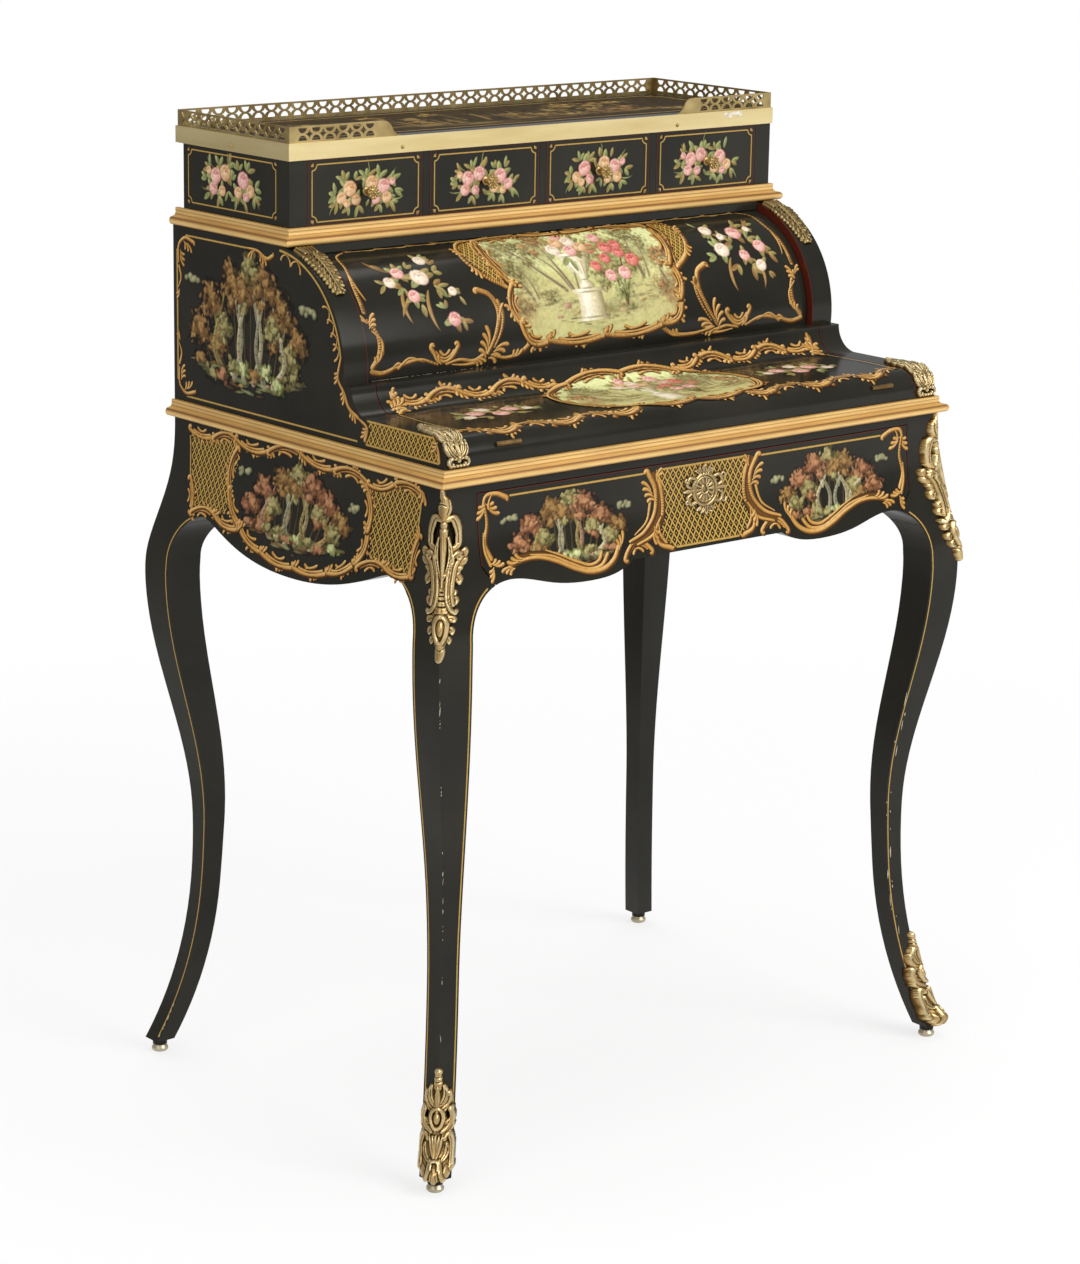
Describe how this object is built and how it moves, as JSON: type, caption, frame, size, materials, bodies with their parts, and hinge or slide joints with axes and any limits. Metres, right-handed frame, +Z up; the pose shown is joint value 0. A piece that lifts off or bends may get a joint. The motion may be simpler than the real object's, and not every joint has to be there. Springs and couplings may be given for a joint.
{
  "type": "writing desk",
  "caption": "Small black lacquer writing desk on cabriole legs with a fold-out flap, a roll-up cylinder front, a frieze drawer and a tier of small drawers under a pierced brass gallery",
  "frame": {"origin": "on the floor, under the middle of the overall box", "axes": "+X to the right of someone facing the desk, -Y to the front, +Z up"},
  "size_m": [0.759, 0.5265, 1.039],
  "materials": {
    "black_lacquer": "gloss black lacquer over wood, painted with gold scrolls and flowers",
    "gilt_wood": "gilded moulding, satin",
    "brass": "lacquered brass, satin",
    "gilt_bronze": "aged gilt bronze",
    "steel": "brushed",
    "drawer_wood": "oiled",
    "leather": "waxed, gilt tooled border"
  },
  "bodies": {
    "carcass": {"leg_front_left": "black_lacquer", "leg_front_right": "black_lacquer", "leg_back_left": "black_lacquer", "leg_back_right": "black_lacquer", "foot_glides": "brass", "side_apron_left": "black_lacquer", "side_apron_right": "black_lacquer", "back_apron": "black_lacquer", "front_rail": "black_lacquer", "drawer_runners": "drawer_wood", "waist_board": "black_lacquer", "waist_moulding": "gilt_wood", "writing_bed": "black_lacquer", "bed_leather": "leather", "case_side_left": "black_lacquer", "case_side_right": "black_lacquer", "back_panel": "drawer_wood", "cylinder_rail": "black_lacquer", "cylinder_pivots": "steel", "tier_floor": "black_lacquer", "cornice_moulding": "gilt_wood", "tier_side_left": "black_lacquer", "tier_side_right": "black_lacquer", "tier_dividers": "black_lacquer", "tier_top": "black_lacquer", "gallery_band": "brass", "band_pins": "brass", "gallery_fret": "brass", "knee_mounts": "gilt_bronze", "sabots": "gilt_bronze", "upper_mounts": "gilt_bronze", "lower_mounts": "gilt_bronze", "hinge_bed_leaves": "brass", "hinge_pins": "brass"},
    "flap": {"flap_panel": "black_lacquer", "flap_cove": "black_lacquer", "flap_leather": "leather", "hinge_flap_leaves": "brass"},
    "cylinder": {"cylinder_panel": "black_lacquer", "cylinder_arm_left": "drawer_wood", "cylinder_arm_right": "drawer_wood"},
    "frieze_drawer": {"frieze_drawer_front": "black_lacquer", "frieze_drawer_sides": "drawer_wood", "frieze_drawer_back": "drawer_wood", "frieze_drawer_bottom": "drawer_wood", "drawer_lock": "steel", "escutcheon": "gilt_bronze"},
    "lock_bolt": {"lock_bolt": "steel"},
    "tier_drawer_1": {"tier_drawer_1_front": "black_lacquer", "tier_drawer_1_box": "drawer_wood", "tier_drawer_1_knob": "brass"},
    "tier_drawer_2": {"tier_drawer_2_front": "black_lacquer", "tier_drawer_2_box": "drawer_wood", "tier_drawer_2_knob": "brass"},
    "tier_drawer_3": {"tier_drawer_3_front": "black_lacquer", "tier_drawer_3_box": "drawer_wood", "tier_drawer_3_knob": "brass"},
    "tier_drawer_4": {"tier_drawer_4_front": "black_lacquer", "tier_drawer_4_box": "drawer_wood", "tier_drawer_4_knob": "brass"}
  },
  "joints": [
    {"name": "flap_hinge", "type": "hinge", "parent": "carcass", "child": "flap", "pos_m": [0, -0.2213, 0.753], "axis": [1, 0, 0], "range_deg": [0, 180]},
    {"name": "cylinder_roll", "type": "hinge", "parent": "carcass", "child": "cylinder", "pos_m": [0, 0.0542, 0.804], "axis": [-1, 0, 0], "range_deg": [0, 82]},
    {"name": "frieze_drawer_slide", "type": "slide", "parent": "carcass", "child": "frieze_drawer", "axis": [0, -1, 0], "range_m": [0, 0.3]},
    {"name": "lock_bolt_slide", "type": "slide", "parent": "frieze_drawer", "child": "lock_bolt", "axis": [0, 0, 1], "range_m": [0, 0.007]},
    {"name": "tier_drawer_1_slide", "type": "slide", "parent": "carcass", "child": "tier_drawer_1", "axis": [0, -1, 0], "range_m": [0, 0.125]},
    {"name": "tier_drawer_2_slide", "type": "slide", "parent": "carcass", "child": "tier_drawer_2", "axis": [0, -1, 0], "range_m": [0, 0.125]},
    {"name": "tier_drawer_3_slide", "type": "slide", "parent": "carcass", "child": "tier_drawer_3", "axis": [0, -1, 0], "range_m": [0, 0.125]},
    {"name": "tier_drawer_4_slide", "type": "slide", "parent": "carcass", "child": "tier_drawer_4", "axis": [0, -1, 0], "range_m": [0, 0.125]}
  ]
}
